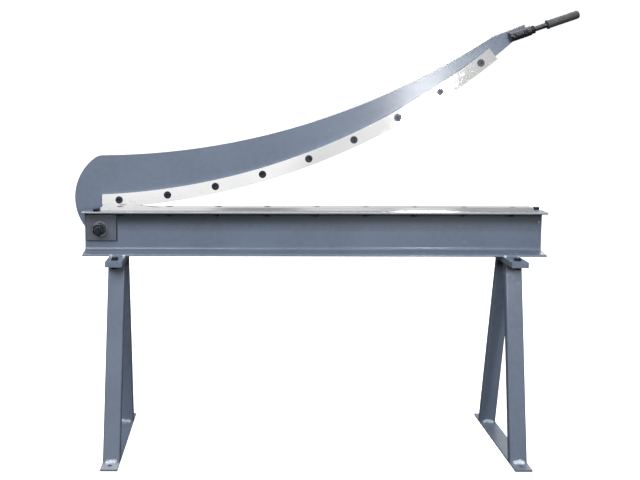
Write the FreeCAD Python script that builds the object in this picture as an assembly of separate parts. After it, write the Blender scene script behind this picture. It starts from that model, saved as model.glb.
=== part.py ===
import FreeCAD, Part
import math
import os

# Hand-lever guillotine shear for sheet metal, on two A-frame stands. All sizes are in millimetres.
# X runs along the bed, Y runs from the operator's side to the back and Z is up.
# The origin is on the floor, in the middle of the four floor bolts of the stands.
# The arm is modelled raised, as it stands when a sheet is laid on the bed.
# The stands lean a little towards the handle, so the bed's middle lies beside the origin.

# Stands
stand_spacing = 1195.0
foot_length = 398.0
foot_width = 50.0
foot_thickness = 6.0
anchor_hole = 13.0
anchor_inset = 24.0
leg_width = 50.0
leg_depth = 25.0
leg_wall = 2.0
leg_corner = 4.0
leg_height = 568.0
leg_spread_foot = 312.0
leg_spread_top = 97.0
stand_lean = 5.0
cap_length = 210.0
cap_width = 50.0
cap_thickness = 11.0
foot_weld_size = 8.5
foot_weld_length = 38.5
weld_bulge = 0.62

# Bed, a rolled channel with its open side to the operator
bed_length = 1410.0
bed_height = 136.0
bed_depth = 55.0
bed_web = 5.5
flange_tip = 6.5
flange_slope = 0.10
root_radius = 9.0
tip_radius = 4.5
lug_length = 98.0
lug_width = 50.0
lug_thickness = 6.0
lug_weld_size = 5.0
lug_bead = 11.0
lug_bolt_inset = 28.0
lug_bolt_over_nut = 1.0
flange_bolt_x = 43.0
flange_bolt_y = 13.5
flange_bolt_length = 10.0

# Blades
blade_overhang = 0.5
blade_gap = 0.3
lower_blade_length = 1316.0
lower_blade_width = 40.0
lower_blade_thickness = 12.0
blade_screw_count = 9
blade_screw_pitch = 150.0
upper_blade_thickness = 10.0
upper_blade_width = 42.0
upper_blade_radius = 2046.0
upper_blade_start = 5.0
lower_blade_start = 7.0
upper_blade_margin = 46.8
upper_screw_radius = 2024.0
first_screw_angle = 3.92
blade_centre_back = 81.0
blade_centre_rise = 2106.5

# Pivot
pivot_from_end = 48.0
pivot_below_top = 58.5
pivot_plate_left = 41.0
pivot_plate_right = 49.0
pivot_plate_down = 36.0
pivot_plate_up = 43.5
pivot_plate_thickness = 8.0
pivot_plate_corner = 4.0
pivot_washer_diameter = 46.0
pivot_washer_thickness = 4.0
pivot_bolt_tip = 8.0
bush_wall = 3.0
bush_clearance = 0.05
bush_seat = 0.02
spacer_diameter = 60.0
side_clearance = 0.3

# Arm
arm_thickness = 12.0
arm_top_radius = 2187.0
arm_top_back = 12.0
arm_top_rise = 2411.5
arm_above_cut = 9.0
heel_radius = 153.5
heel_centre_x = 72.7
heel_centre_z = 93.1
heel_corner = 40.0
hub_radius = 50.0
neck_reach = 140.0
closing_angle = 21.15

# Handle
handle_reach = 1247.0
handle_rise = 586.0
handle_angle = 19.0
tongue_angle = 21.1
tongue_kink_x = 1195.5
tongue_length = 58.0
tongue_below = 15.5
tongue_start = 9.0
socket_diameter = 29.0
socket_length = 66.0
socket_flat = 3.0
socket_chamfer = 1.5
rod_diameter = 16.0
rod_in_socket = 14.0
rod_shown = 41.0
rod_in_grip = 80.0
handle_nut_flats = 24.0
handle_nut_height = 11.0
socket_screw_first = 10.5
socket_screw_spacing = 36.5
grip_diameter = 25.0
grip_length = 100.0
grip_collar = 28.0
grip_collar_length = 3.0
grip_dome = 6.5

# Arm stop behind the bed's right end
stop_width = 22.0
stop_plate = 8.0
stop_leg = 46.0
stop_ledge = 34.0
stop_screw_drop = 28.0
stop_clearance = 0.3

# Fasteners: shank, width across flats, head height, nut height
m8 = 8.0
m8_head = 13.0
m8_key = 6.0
m8_flats = 13.0
m8_nut = 6.8
m10 = 10.0
m10_flats = 17.0
m10_head = 7.0
m10_nut = 8.4
m12 = 12.0
m12_flats = 19.0
m12_head = 7.5
m12_nut = 10.0
m12_key = 8.0
m24 = 24.0
m24_flats = 36.0
m24_head = 15.0
m24_nut = 21.5
countersunk_head = 23.0
countersunk_rim = 0.6
countersunk_length = 30.0
small_washer = 1.2
washer_rim = 1.5
bolt_clearance = 0.5
seat_clearance = 0.05
thread_over_nut = 4.0
tip_chamfer = 1.0
key_depth = 5.0
nut_land = 0.95
nut_bevel = 30.0

# Places worked out from the sizes above
UP = FreeCAD.Vector(0, 0, 1)
DOWN = FreeCAD.Vector(0, 0, -1)
FRONT = FreeCAD.Vector(0, -1, 0)
BACK = FreeCAD.Vector(0, 1, 0)

cap_bottom = foot_thickness + leg_height
cap_top = cap_bottom + cap_thickness
bed_bottom = cap_top + lug_thickness
bed_top = bed_bottom + bed_height
bed_shift = stand_lean
bed_left = bed_shift - bed_length / 2
bed_right = bed_shift + bed_length / 2
web_back = bed_depth / 2
web_front = web_back - bed_web
cut_plane = web_back + blade_overhang
table_top = bed_top + lower_blade_thickness
stand_places = {"left": -stand_spacing / 2, "right": stand_spacing / 2}

blade_front = cut_plane + blade_gap
arm_front = blade_front + upper_blade_thickness
arm_back = arm_front + arm_thickness
pivot_x = bed_left + pivot_from_end
pivot_z = bed_top - pivot_below_top
blade_centre_x = pivot_x - blade_centre_back
blade_centre_z = pivot_z + blade_centre_rise
screw_step = math.degrees(2 * math.asin(blade_screw_pitch / 2 / upper_screw_radius))
last_screw_angle = first_screw_angle + (blade_screw_count - 1) * screw_step
blade_end_angle = last_screw_angle + math.degrees(upper_blade_margin / upper_screw_radius)
socket_y = arm_front - socket_diameter / 2 + socket_flat

solids = {}


def vector(x, y, z):
    return FreeCAD.Vector(x, y, z)


def keep(node, *shapes):
    """Store one piece, or a group of equal pieces, under its node's name."""
    shape = shapes[0] if len(shapes) == 1 else Part.makeCompound(list(shapes))
    solids[node] = shape


def block(x0, x1, y0, y1, z0, z1):
    return Part.makeBox(x1 - x0, y1 - y0, z1 - z0, vector(x0, y0, z0))


def cylinder(diameter, start, direction, length):
    return Part.makeCylinder(diameter / 2, length, start, direction)


def placed(shape, point, direction):
    """Move a piece made along +Z so that it starts at the point and runs in the direction."""
    moved = shape.copy()
    moved.Placement = FreeCAD.Placement(point, FreeCAD.Rotation(UP, direction))
    return moved


def turned(points):
    """Turn an outline of (radius, height) points round the Z axis."""
    corners = [vector(r, 0, z) for r, z in points]
    outline = Part.makePolygon(corners + corners[:1])
    return Part.Face(outline).revolve(vector(0, 0, 0), UP, 360)


def hexagon(flats, height):
    corner = flats / math.sqrt(3)
    points = [vector(corner * math.cos(a), corner * math.sin(a), 0)
              for a in (math.radians(60 * i + 30) for i in range(6))]
    outline = Part.makePolygon(points + points[:1])
    return Part.Face(outline).extrude(vector(0, 0, height))


def softened_hexagon(flats, height, both_ends):
    """A hexagon whose corners are turned off at 30 degrees, as on bolt heads and nuts."""
    land = nut_land * flats / 2
    corner = flats / math.sqrt(3) + seat_clearance
    drop = (corner - land) * math.tan(math.radians(nut_bevel))
    low = [(0, 0), (land, 0), (corner, drop)] if both_ends else [(0, 0), (corner, 0)]
    return hexagon(flats, height).common(turned(low + [(corner, height - drop), (land, height), (0, height)]))


def nut(shank, flats, height):
    bore = Part.makeCylinder(shank / 2 + seat_clearance, height)
    return softened_hexagon(flats, height, True).cut(bore)


def ring(outer, inner, height):
    return Part.makeCylinder(outer / 2, height).cut(Part.makeCylinder(inner / 2, height))


def hex_bolt(shank, flats, head, length):
    """Head above Z=0, shank below it, the thread's tip chamfered."""
    r = shank / 2
    stem = turned([(0, 0), (r, 0), (r, tip_chamfer - length), (r - tip_chamfer, -length), (0, -length)])
    return softened_hexagon(flats, head, False).fuse(stem).removeSplitter()


def countersunk_screw(length):
    """Flat head level with Z=0 and the shank below it, with a hexagon socket for the key."""
    head = countersunk_head / 2
    r = m12 / 2
    cone = countersunk_rim + head - r
    body = turned([(0, 0), (head, 0), (head, -countersunk_rim), (r, -cone),
                   (r, tip_chamfer - length), (r - tip_chamfer, -length), (0, -length)])
    key = hexagon(m12_key, key_depth)
    key.translate(vector(0, 0, -key_depth))
    return body.cut(key)


def countersunk_hole(depth):
    """The tool for a hole that a countersunk screw fills level with Z=0."""
    head = countersunk_head / 2 + seat_clearance
    r = m12 / 2 + seat_clearance
    cone = countersunk_rim + seat_clearance + head - r
    above = tip_chamfer
    return turned([(0, above), (head, above), (head, -countersunk_rim - seat_clearance), (r, -cone),
                   (r, -depth), (0, -depth)])


def cap_screw(length):
    """Cylindrical head above Z=0 with a hexagon socket, shank below it."""
    head = m8_head / 2
    r = m8 / 2
    body = turned([(0, m8), (head - tip_chamfer, m8), (head, m8 - tip_chamfer), (head, 0), (r, 0),
                   (r, -length), (0, -length)])
    key = hexagon(m8_key, key_depth)
    key.translate(vector(0, 0, m8 - key_depth))
    return body.cut(key)


def edges_along(shape, direction, near):
    """The straight edges that run in a direction and pass within a hair of a point."""
    found = []
    for edge in shape.Edges:
        if len(edge.Vertexes) < 2:
            continue
        a = edge.Vertexes[0].Point
        run = edge.Vertexes[-1].Point - a
        if run.Length < 1 or abs(run.normalize().dot(direction)) < 0.999:
            continue
        off = near - a
        if (off - direction * off.dot(direction)).Length < 0.01:
            found.append(edge)
    return found


def flange_thickness(y):
    """Thickness of the tapered flange at a depth, thin at the open side."""
    return flange_tip + flange_slope * (y + bed_depth / 2)


def lower_blade_left():
    """The lower blade starts about level with the upper one, just right of the pivot bolt."""
    return pivot_x + lower_blade_start


def lower_screw_places():
    margin = (lower_blade_length - (blade_screw_count - 1) * blade_screw_pitch) / 2
    first = lower_blade_left() + margin
    return [first + i * blade_screw_pitch for i in range(blade_screw_count)]


def lower_screw_y():
    return cut_plane - lower_blade_width / 2


def lug_places():
    """Middle of each pair of lugs along the bed."""
    return {"left": bed_shift - stand_spacing / 2, "right": bed_shift + stand_spacing / 2}


def flange_bolt_place():
    return vector(bed_left + flange_bolt_x, flange_bolt_y - bed_depth / 2, bed_top)


def lug_bolt_places(x):
    return [vector(x, side * (cap_length / 2 - lug_bolt_inset), bed_bottom) for side in (-1, 1)]


def stand_feet():
    """Foot plates with their floor-bolt holes."""
    for side, x in stand_places.items():
        plate = block(x - foot_width / 2, x + foot_width / 2, -foot_length / 2, foot_length / 2,
                      0, foot_thickness)
        for end in (-1, 1):
            y = end * (foot_length / 2 - anchor_inset)
            plate = plate.cut(cylinder(anchor_hole, vector(x, y, 0), UP, foot_thickness))
        keep("foot_plate_" + side, plate)


def leg_tube(x):
    """Slanted rectangular tube from foot plate to cap plate, its outer face at the front."""
    rise = leg_height
    slant = (leg_spread_foot - leg_spread_top) / 2
    spare = leg_depth
    length = math.hypot(rise, slant) + 2 * spare
    outer = block(-leg_width / 2, leg_width / 2, 0, leg_depth, -spare, length - spare)
    corners = [edge for px in (-leg_width / 2, leg_width / 2) for py in (0, leg_depth)
               for edge in edges_along(outer, UP, vector(px, py, 0))]
    outer = outer.makeFillet(leg_corner, corners)
    inner = block(leg_wall - leg_width / 2, leg_width / 2 - leg_wall, leg_wall, leg_depth - leg_wall,
                  -2 * spare, length)
    tube = outer.cut(inner)
    tube.rotate(vector(0, 0, 0), vector(1, 0, 0), -math.degrees(math.atan2(slant, rise)))
    tube.rotate(vector(0, 0, 0), BACK, math.degrees(math.atan2(stand_lean, rise)))
    tube.translate(vector(x, -leg_spread_foot / 2, foot_thickness))
    return tube.common(block(x - leg_width, x + leg_width, -leg_spread_foot, leg_spread_foot,
                             foot_thickness, cap_bottom))


def stand_legs():
    for side, x in stand_places.items():
        leg = leg_tube(x)
        keep("front_leg_" + side, leg)
        keep("back_leg_" + side, leg.mirror(vector(0, 0, 0), BACK))


def weld_bead(x, width, size, corner, first, second):
    """A fillet weld along X in the corner between two faces; first and second point along them."""
    a = corner + first * size
    b = corner + second * size
    middle = corner + (first + second) * (weld_bulge * size)
    edges = [Part.LineSegment(corner, a).toShape(), Part.Arc(a, middle, b).toShape(),
             Part.LineSegment(b, corner).toShape()]
    bead = Part.Face(Part.Wire(edges)).extrude(vector(width, 0, 0))
    bead.translate(vector(x - width / 2, 0, 0))
    return bead


def stand_welds():
    """Weld beads at the foot of each leg, across its face towards the operator and away from them."""
    slant = (leg_spread_foot - leg_spread_top) / 2
    slope = vector(0, slant, leg_height).normalize()
    depth = leg_depth / slope.z
    outer = vector(0, -leg_spread_foot / 2, foot_thickness)
    inner = vector(0, depth - leg_spread_foot / 2, foot_thickness)
    for side, x in stand_places.items():
        front = [weld_bead(x, foot_weld_length, foot_weld_size, outer, FRONT, slope),
                 weld_bead(x, foot_weld_length, foot_weld_size, inner, BACK, slope)]
        front = [bead.cut(solids["front_leg_" + side]) for bead in front]
        back = [bead.mirror(vector(0, 0, 0), BACK) for bead in front]
        keep("foot_welds_" + side, *(front + back))


def stand_caps():
    """Cap plates that carry the bed, drilled for the bolts of its lugs."""
    for side, x in lug_places().items():
        plate = block(x - cap_width / 2, x + cap_width / 2, -cap_length / 2, cap_length / 2,
                      cap_bottom, cap_top)
        for place in lug_bolt_places(x):
            plate = plate.cut(cylinder(m12 + bolt_clearance, place, DOWN, bed_bottom))
        keep("cap_plate_" + side, plate)


def channel_profile():
    """The channel's section in the Y-Z plane, its web at the back."""
    open_y = -bed_depth / 2
    root = flange_thickness(web_front)
    return [(web_back, bed_bottom), (web_back, bed_top), (open_y, bed_top), (open_y, bed_top - flange_tip),
            (web_front, bed_top - root), (web_front, bed_bottom + root), (open_y, bed_bottom + flange_tip),
            (open_y, bed_bottom)]


def bed_channel_blank():
    corners = [vector(bed_left, y, z) for y, z in channel_profile()]
    outline = Part.makePolygon(corners + corners[:1])
    channel = Part.Face(outline).extrude(vector(bed_length, 0, 0))
    along = vector(1, 0, 0)
    for indices, radius in (((4, 5), root_radius), ((3, 6), tip_radius)):
        edges = [edge for i in indices for edge in edges_along(channel, along, corners[i])]
        channel = channel.makeFillet(radius, edges)
    return channel


def bed():
    channel = bed_channel_blank()
    tapped = [vector(x, lower_screw_y(), bed_top) for x in lower_screw_places()]
    for place in tapped + [flange_bolt_place()]:
        channel = channel.cut(cylinder(m12 + 2 * seat_clearance, place, DOWN, bed_height / 2))
    pivot_middle = vector(pivot_x, web_back, pivot_z)
    channel = channel.cut(cylinder(m24 + bolt_clearance, pivot_middle, FRONT, bed_depth))
    channel = channel.cut(cylinder(m10 + bolt_clearance, stop_screw_place(), FRONT, bed_depth))
    keep("bed_channel", channel)


def lug_plate(x, side):
    """A lug, a flat bar under the bed's bottom flange, flush with the cap plate's end."""
    ends = sorted((side * cap_length / 2, side * (cap_length / 2 - lug_length)))
    return block(x - lug_width / 2, x + lug_width / 2, ends[0], ends[1], cap_top, bed_bottom)


def front_lug_weld(x):
    """The bead on the front lug that wraps the flange's rounded edge."""
    start = vector(x - lug_width / 2, -bed_depth / 2, bed_bottom)
    bead = cylinder(lug_bead, start, vector(1, 0, 0), lug_width)
    below = block(x - lug_width, x + lug_width, -bed_depth, bed_depth, cap_top - lug_bead, bed_bottom)
    bead = bead.cut(bed_channel_blank()).cut(below)
    return max(bead.Solids, key=lambda solid: solid.Volume)


def bed_lugs():
    welds = []
    for side, x in lug_places().items():
        bolts = lug_bolt_places(x)
        for name, direction, place in (("front", -1, bolts[0]), ("back", 1, bolts[1])):
            lug = lug_plate(x, direction)
            lug = lug.cut(cylinder(m12 + bolt_clearance, place, DOWN, bed_height))
            keep("lug_" + name + "_" + side, lug)
        corner = vector(0, web_back, bed_bottom)
        welds.append(weld_bead(x, lug_width, lug_weld_size, corner, BACK, UP))
        welds.append(front_lug_weld(x))
    keep("lug_welds", *welds)


def lug_bolts():
    """Bolts that hold the bed's lugs down on the cap plates."""
    places = [place for x in lug_places().values() for place in lug_bolt_places(x)]
    grip = lug_thickness + cap_thickness
    length = grip + m12_nut + lug_bolt_over_nut
    bolt = hex_bolt(m12, m12_flats, m12_head, length)
    keep("lug_bolts", *[placed(bolt, place, UP) for place in places])
    one_nut = nut(m12, m12_flats, m12_nut)
    keep("lug_nuts", *[placed(one_nut, place + DOWN * grip, DOWN) for place in places])


def flange_bolt():
    """A short bolt tapped into the top flange just left of the lower blade."""
    bolt = hex_bolt(m12, m12_flats, m12_head, flange_bolt_length)
    keep("flange_bolt", placed(bolt, flange_bolt_place(), UP))


def lower_blade():
    """The fixed blade, flat on the bed's top flange, its countersunk screws tapped into the flange."""
    left = lower_blade_left()
    right = left + lower_blade_length
    blade = block(left, right, cut_plane - lower_blade_width, cut_plane, bed_top, table_top)
    screws = []
    hole = countersunk_hole(2 * lower_blade_thickness)
    for x in lower_screw_places():
        place = vector(x, lower_screw_y(), table_top)
        blade = blade.cut(placed(hole, place, UP))
        screws.append(placed(countersunk_screw(countersunk_length), place, UP))
    keep("lower_blade", blade)
    keep("lower_blade_screws", *screws)


def stop_screw_place():
    """Where the screw of the arm stop's bracket passes through the back of the web."""
    return vector(bed_right - stop_width / 2, web_back, stop_ledge_top() - stop_screw_drop)


def pivot_plate():
    """The doubling plate on the web that the pivot bolt passes through."""
    front = web_front - pivot_plate_thickness
    plate = block(pivot_x - pivot_plate_left, pivot_x + pivot_plate_right, front, web_front,
                  pivot_z - pivot_plate_down, pivot_z + pivot_plate_up)
    corners = [edge for px in (pivot_x - pivot_plate_left, pivot_x + pivot_plate_right)
               for pz in (pivot_z - pivot_plate_down, pivot_z + pivot_plate_up)
               for edge in edges_along(plate, BACK, vector(px, 0, pz))]
    plate = plate.makeFillet(pivot_plate_corner, corners)
    plate = plate.cut(bed_channel_blank())
    plate = plate.cut(cylinder(m24 + bolt_clearance, vector(pivot_x, web_front, pivot_z), FRONT, bed_depth))
    keep("pivot_plate", plate)


def pivot():
    """The pivot bolt, pushed in from the back, with the washers and the nut that hold it."""
    spacer_thickness = arm_front - side_clearance - web_back
    head_y = arm_back + side_clearance + pivot_washer_thickness
    nut_y = web_front - pivot_plate_thickness - pivot_washer_thickness
    at = lambda y: vector(pivot_x, y, pivot_z)
    length = head_y - nut_y + m24_nut + pivot_bolt_tip
    keep("pivot_bolt", placed(hex_bolt(m24, m24_flats, m24_head, length), at(head_y), BACK))
    keep("pivot_back_washer", placed(ring(pivot_washer_diameter, m24 + 2 * seat_clearance,
                                          pivot_washer_thickness), at(head_y), FRONT))
    keep("pivot_spacer", placed(ring(spacer_diameter, m24 + 2 * seat_clearance, spacer_thickness),
                                at(web_back), BACK))
    keep("pivot_front_washer", placed(ring(pivot_washer_diameter, m24 + 2 * seat_clearance,
                                           pivot_washer_thickness), at(nut_y), BACK))
    keep("pivot_nut", placed(nut(m24, m24_flats, m24_nut), at(nut_y), FRONT))


def pivot_bush():
    inner = m24 + 2 * bush_clearance
    keep("pivot_bush", placed(ring(m24 + 2 * bush_wall, inner, arm_thickness),
                              vector(pivot_x, arm_front, pivot_z), BACK))


def arc_point(centre_x, centre_z, radius, angle, y):
    """A point on an arc, its angle counted from straight down towards +X."""
    a = math.radians(angle)
    return vector(centre_x + radius * math.sin(a), y, centre_z - radius * math.cos(a))


def angle_at(centre_x, radius, x):
    return math.degrees(math.asin((x - centre_x) / radius))


def arc_edge(centre_x, centre_z, radius, start, end, y):
    points = [arc_point(centre_x, centre_z, radius, a, y) for a in (start, (start + end) / 2, end)]
    return Part.Arc(*points).toShape()


def straight(a, b):
    return Part.LineSegment(a, b).toShape()


def blade_edge_arc(radius, start_x, y, reverse=False):
    """An arc about the upper blade's centre, from an X near its heel to the blade's far end."""
    start = angle_at(blade_centre_x, radius, start_x)
    ends = (blade_end_angle, start) if reverse else (start, blade_end_angle)
    return arc_edge(blade_centre_x, blade_centre_z, radius, ends[0], ends[1], y)


def upper_screw_places(y):
    return [arc_point(blade_centre_x, blade_centre_z, upper_screw_radius,
                      first_screw_angle + i * screw_step, y) for i in range(blade_screw_count)]


def upper_blade():
    """The curved moving blade: its back, screw line and cutting edge share one centre.

    Its countersunk screws are tapped into the arm behind it.
    """
    left = pivot_x + upper_blade_start
    top = blade_edge_arc(upper_blade_radius - upper_blade_width, left, blade_front)
    cutting = blade_edge_arc(upper_blade_radius, left, blade_front, reverse=True)
    end = straight(top.Vertexes[-1].Point, cutting.Vertexes[0].Point)
    start = straight(cutting.Vertexes[-1].Point, top.Vertexes[0].Point)
    blade = Part.Face(Part.Wire([top, end, cutting, start])).extrude(vector(0, upper_blade_thickness, 0))
    hole = countersunk_hole(2 * upper_blade_thickness)
    screws = []
    for place in upper_screw_places(blade_front):
        blade = blade.cut(placed(hole, place, FRONT))
        screws.append(placed(countersunk_screw(countersunk_length), place, FRONT))
    keep("upper_blade", blade)
    keep("upper_blade_screws", *screws)


def handle_point(along, above, y):
    """A point given along the handle's axis and square to it, from the socket's near end."""
    a = math.radians(handle_angle)
    x = pivot_x + handle_reach + along * math.cos(a) - above * math.sin(a)
    z = pivot_z + handle_rise + along * math.sin(a) + above * math.cos(a)
    return vector(x, y, z)


def handle_direction():
    return (handle_point(1, 0, 0) - handle_point(0, 0, 0)).normalize()


def circles_meet(x0, z0, r0, x1, z1, r1):
    """The upper of the two points where two circles cross."""
    gap = math.hypot(x1 - x0, z1 - z0)
    along = (r0 * r0 - r1 * r1 + gap * gap) / (2 * gap)
    off = math.sqrt(r0 * r0 - along * along)
    ux, uz = (x1 - x0) / gap, (z1 - z0) / gap
    ends = [(x0 + along * ux - s * off * uz, z0 + along * uz + s * off * ux) for s in (-1, 1)]
    return min(ends)


def tongue_top(along_x):
    """Height of the tongue's straight top edge at an X, from the kink where the long arc ends."""
    kink_x = pivot_x + tongue_kink_x
    kink = arc_point(pivot_x - arm_top_back, pivot_z + arm_top_rise, arm_top_radius,
                     angle_at(pivot_x - arm_top_back, arm_top_radius, kink_x), 0)
    return kink.z + (along_x - kink_x) * math.tan(math.radians(tongue_angle))


def tongue_corner(y):
    """Where the tongue's top edge meets its end, which is square to the handle."""
    low = handle_point(tongue_length, 0, y)
    high = handle_point(tongue_length, socket_length, y)
    slope = math.tan(math.radians(tongue_angle))
    start = tongue_top(low.x)
    share = (start - low.z) / ((high.z - low.z) - slope * (high.x - low.x))
    return low + (high - low) * share


def hub_centre():
    """The hub's round lies inside the heel's arc and touches it beside the pivot."""
    far = math.hypot(heel_centre_x, heel_centre_z)
    share = (heel_radius - hub_radius) / far
    return (pivot_x + heel_centre_x * (1 - share), pivot_z + heel_centre_z * (1 - share))


def arm_outline(y):
    top_x, top_z = pivot_x - arm_top_back, pivot_z + arm_top_rise
    heel_x, heel_z = pivot_x + heel_centre_x, pivot_z + heel_centre_z
    corner_x, corner_z = circles_meet(heel_x, heel_z, heel_radius, top_x, top_z, arm_top_radius)
    kink_angle = angle_at(top_x, arm_top_radius, pivot_x + tongue_kink_x)
    corner_angle = angle_at(top_x, arm_top_radius, corner_x)
    top = arc_edge(top_x, top_z, arm_top_radius, corner_angle, kink_angle, y)
    corner = top.Vertexes[0].Point
    kink = top.Vertexes[-1].Point

    end_top = tongue_corner(y)
    end_low = handle_point(tongue_length, -tongue_below, y)
    tongue_low = handle_point(tongue_start, -tongue_below, y)

    low_radius = upper_blade_radius - arm_above_cut
    lower = blade_edge_arc(low_radius, pivot_x + neck_reach, y, reverse=True)
    lower_end = lower.Vertexes[0].Point
    neck = lower.Vertexes[-1].Point

    hub_x, hub_z = hub_centre()
    to_neck = math.hypot(neck.x - hub_x, neck.z - hub_z)
    toward = math.atan2(neck.z - hub_z, neck.x - hub_x) - math.acos(hub_radius / to_neck)
    away = math.atan2(-heel_centre_z, -heel_centre_x)
    at = lambda a: vector(hub_x + hub_radius * math.cos(a), y, hub_z + hub_radius * math.sin(a))
    hub = Part.Arc(at(toward), at((toward + away) / 2), at(away)).toShape()

    heel_angle = math.atan2(corner.z - heel_z, corner.x - heel_x)
    middle = (heel_angle + away + 2 * math.pi) / 2
    heel_middle = vector(heel_x + heel_radius * math.cos(middle), y, heel_z + heel_radius * math.sin(middle))
    heel = Part.Arc(at(away), heel_middle, corner).toShape()
    return Part.Wire([top, straight(kink, end_top), straight(end_top, end_low), straight(end_low, tongue_low),
                      straight(tongue_low, lower_end), lower, straight(neck, at(toward)), hub, heel]), corner


def arm_plate():
    """The arm, one flat plate that widens to the heel round the pivot."""
    outline, corner = arm_outline(arm_front)
    plate = Part.Face(outline).extrude(vector(0, arm_thickness, 0))
    plate = plate.makeFillet(heel_corner, edges_along(plate, BACK, corner))
    bush = m24 + 2 * bush_wall + 2 * bush_seat
    plate = plate.cut(cylinder(bush, vector(pivot_x, arm_front, pivot_z), BACK, arm_thickness))
    for place in upper_screw_places(arm_front):
        plate = plate.cut(cylinder(m12 + 2 * seat_clearance, place, BACK, arm_thickness))
    for along in socket_screw_places():
        place = handle_point(along, 0, arm_front)
        plate = plate.cut(cylinder(m8 + bolt_clearance, place, BACK, arm_thickness))
    keep("arm_plate", plate)


def socket_screw_places():
    return [socket_screw_first, socket_screw_first + socket_screw_spacing]


def handle():
    """The round handle on its flat socket: socket, screws, rod, lock nut and grip."""
    along = handle_direction()
    start = handle_point(0, 0, socket_y)
    r = socket_diameter / 2
    socket = turned([(0, 0), (r - socket_chamfer, 0), (r, socket_chamfer),
                     (r, socket_length - socket_chamfer), (r - socket_chamfer, socket_length),
                     (0, socket_length)])
    socket = placed(socket, start, along)
    behind = block(start.x - socket_length, start.x + 2 * socket_length, arm_front, arm_front + r,
                   start.z - socket_length, start.z + 2 * socket_length)
    socket = socket.cut(behind)
    bore_start = start + along * (socket_length - rod_in_socket)
    socket = socket.cut(cylinder(rod_diameter + 2 * seat_clearance, bore_start, along, socket_length))
    seat_y = socket_y - r + m8 / 2
    screws = []
    nuts = []
    washers = []
    length = arm_back + small_washer + m8_nut + tip_chamfer - seat_y
    for place_along in socket_screw_places():
        place = handle_point(place_along, 0, seat_y)
        socket = socket.cut(cylinder(m8 + bolt_clearance, place, BACK, socket_diameter))
        socket = socket.cut(cylinder(m8_head + bolt_clearance, place, FRONT, r))
        screws.append(placed(cap_screw(length), place, FRONT))
        behind_arm = handle_point(place_along, 0, arm_back)
        washer = ring(m8_flats + 2 * washer_rim, m8 + bolt_clearance, small_washer)
        washers.append(placed(washer, behind_arm, BACK))
        nuts.append(placed(nut(m8, m8_flats, m8_nut), behind_arm + BACK * small_washer, BACK))
    keep("handle_socket", socket)
    keep("socket_screws", *screws)
    keep("socket_washers", *washers)
    keep("socket_nuts", *nuts)

    nut_start = start + along * socket_length
    keep("handle_lock_nut", placed(nut(rod_diameter, handle_nut_flats, handle_nut_height), nut_start, along))
    rod_length = rod_in_socket + handle_nut_height + rod_shown + rod_in_grip
    keep("handle_rod", cylinder(rod_diameter, bore_start, along, rod_length))

    grip_start = nut_start + along * (handle_nut_height + rod_shown)
    keep("handle_grip", placed(grip_shape(), grip_start, along))


def grip_shape():
    """A round grip with a collar at the near end and a domed far end."""
    r = grip_diameter / 2
    collar = grip_collar / 2
    blank = turned([(0, 0), (collar, 0), (collar, grip_collar_length), (r, grip_collar_length),
                    (r, grip_length), (0, grip_length)])
    rim = [edge for edge in blank.Edges if edge.BoundBox.ZMin > grip_length - grip_dome and edge.Length > r]
    grip = blank.makeFillet(grip_dome, rim)
    return grip.cut(Part.makeCylinder(rod_diameter / 2 + seat_clearance, rod_in_grip))


def arm_edge_when_closed(x):
    """Height of the arm's lower edge above a place behind the bed when the arm is down."""
    low_radius = upper_blade_radius - arm_above_cut
    a = arc_point(blade_centre_x, blade_centre_z, low_radius, blade_end_angle, 0)
    b = handle_point(tongue_start, -tongue_below, 0)
    turn = FreeCAD.Rotation(BACK, closing_angle)
    centre = vector(pivot_x, 0, pivot_z)
    a, b = [centre + turn.multVec(point - centre) for point in (a, b)]
    return a.z + (b.z - a.z) * (x - a.x) / (b.x - a.x)


def stop_bolt_top():
    """The stop bolt's head just meets the arm's lower edge when the arm is down."""
    middle = bed_right - stop_width / 2
    return arm_edge_when_closed(middle - m10_flats / 2) - stop_clearance


def stop_ledge_top():
    return stop_bolt_top() - m10_head - m10_nut


def arm_stop():
    """The stop behind the web's right end: an angle bracket, its screw and a bolt with a lock nut."""
    left = bed_right - stop_width
    top = stop_ledge_top()
    bracket = block(left, bed_right, web_back, web_back + stop_plate, top - stop_leg, top)
    ledge = block(left, bed_right, web_back, web_back + stop_ledge, top - stop_plate, top)
    bracket = bracket.fuse(ledge).removeSplitter()
    screw_place = stop_screw_place()
    bolt_place = vector(bed_right - stop_width / 2, (arm_front + arm_back) / 2, stop_bolt_top() - m10_head)
    bracket = bracket.cut(cylinder(m10 + bolt_clearance, screw_place, BACK, stop_plate))
    bracket = bracket.cut(cylinder(m10 + 2 * seat_clearance, bolt_place, DOWN, bed_height / 2))
    keep("arm_stop_bracket", bracket)

    grip = stop_plate + bed_web
    screw = hex_bolt(m10, m10_flats, m10_head, grip + thread_over_nut)
    keep("arm_stop_screw", placed(screw, screw_place + BACK * stop_plate, BACK))
    keep("arm_stop_bolt", placed(hex_bolt(m10, m10_flats, m10_head, m10_nut + stop_plate + thread_over_nut),
                                 bolt_place, UP))
    keep("arm_stop_lock_nut", placed(nut(m10, m10_flats, m10_nut), bolt_place, DOWN))


def build():
    stand_feet()
    stand_legs()
    stand_welds()
    stand_caps()
    bed()
    bed_lugs()
    lug_bolts()
    flange_bolt()
    lower_blade()
    pivot_plate()
    pivot()
    arm_stop()
    arm_plate()
    pivot_bush()
    upper_blade()
    handle()


build()
os.makedirs("parts", exist_ok=True)
for node, shape in solids.items():
    shape.exportStep("parts/" + node + ".step")
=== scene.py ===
"""Looks of a hand-lever guillotine shear on two stands, laid out as an add-on and run as a script.

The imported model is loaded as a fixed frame. The operators below paint and grind its parts, put in
threaded bolts and rippled weld beads worked out with numpy, and set up the floor, light and camera.
"""

import math
from functools import partial

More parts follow.
